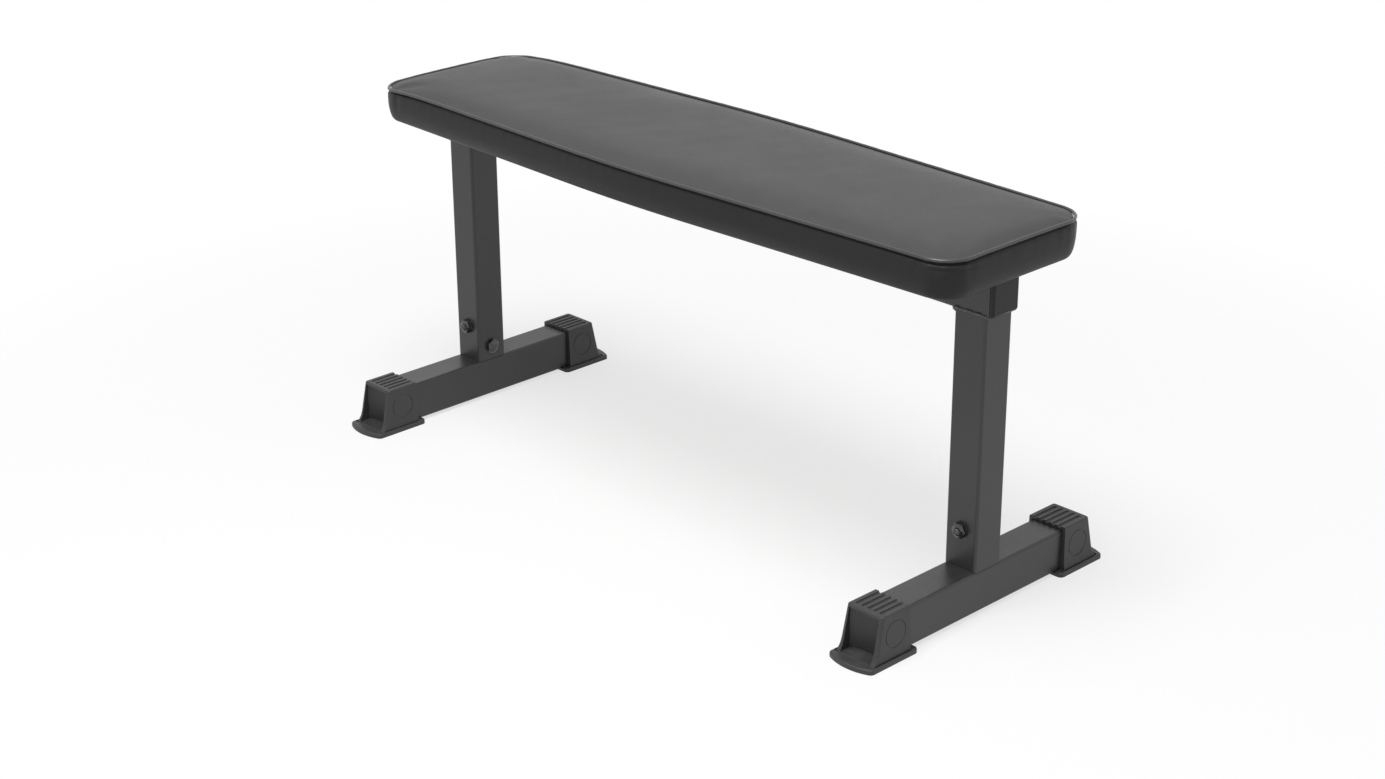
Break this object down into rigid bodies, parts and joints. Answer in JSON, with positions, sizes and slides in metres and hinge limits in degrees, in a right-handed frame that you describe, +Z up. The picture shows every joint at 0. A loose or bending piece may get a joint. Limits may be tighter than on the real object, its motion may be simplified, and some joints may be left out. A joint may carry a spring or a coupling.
{
  "type": "flat weight bench",
  "caption": "Flat weight bench: a long padded vinyl top on a steel beam, carried by square uprights on crossbars that end in ribbed moulded feet.",
  "frame": {"origin": "on the floor, under the middle of the bench", "axes": "+X along the bench, +Y across it, +Z up"},
  "size_m": [0.9844, 0.422, 0.4648],
  "materials": {
    "frame_coat": "satin black powder coat",
    "weld_coat": "powder coat over a weld bead",
    "foot_plastic": "moulded, fine spark grain",
    "cap_plastic": "moulded, smooth",
    "black_zinc": "black zinc plate",
    "bright_zinc": "zinc plate",
    "vinyl_top": "satin vinyl, fine leather grain",
    "vinyl_side": "satin vinyl, fine leather grain",
    "vinyl_piping": "smooth vinyl cord",
    "plywood": "raw birch plywood",
    "foam": "open-cell foam"
  },
  "bodies": {
    "root": {"bar_stub_far": "frame_coat", "bar_stub_near": "frame_coat", "beam_cap_far": "cap_plastic", "beam_cap_near": "cap_plastic", "bolt_washers_far": "black_zinc", "bolt_washers_near": "black_zinc", "bracket_welds_far": "weld_coat", "bracket_welds_near": "weld_coat", "cover_piping": "vinyl_piping", "cover_side": "vinyl_side", "cover_staples": "bright_zinc", "cover_top": "vinyl_top", "crossbar_far": "frame_coat", "crossbar_near": "frame_coat", "foot_far_front": "foot_plastic", "foot_far_rear": "foot_plastic", "foot_near_front": "foot_plastic", "foot_near_rear": "foot_plastic", "inner_bolt_far": "black_zinc", "inner_bolt_near": "black_zinc", "pad_board": "plywood", "pad_bracket_far": "frame_coat", "pad_bracket_near": "frame_coat", "pad_foam": "foam", "pad_screws": "bright_zinc", "pad_washers": "bright_zinc", "t_nuts": "bright_zinc", "through_bolt_far": "black_zinc", "through_bolt_near": "black_zinc", "through_nut_far": "black_zinc", "through_nut_near": "black_zinc", "top_beam": "frame_coat", "upright_far": "frame_coat", "upright_near": "frame_coat", "upright_welds_far": "weld_coat", "upright_welds_near": "weld_coat", "weld_nut_far": "bright_zinc", "weld_nut_near": "bright_zinc"}
  },
  "joints": []
}
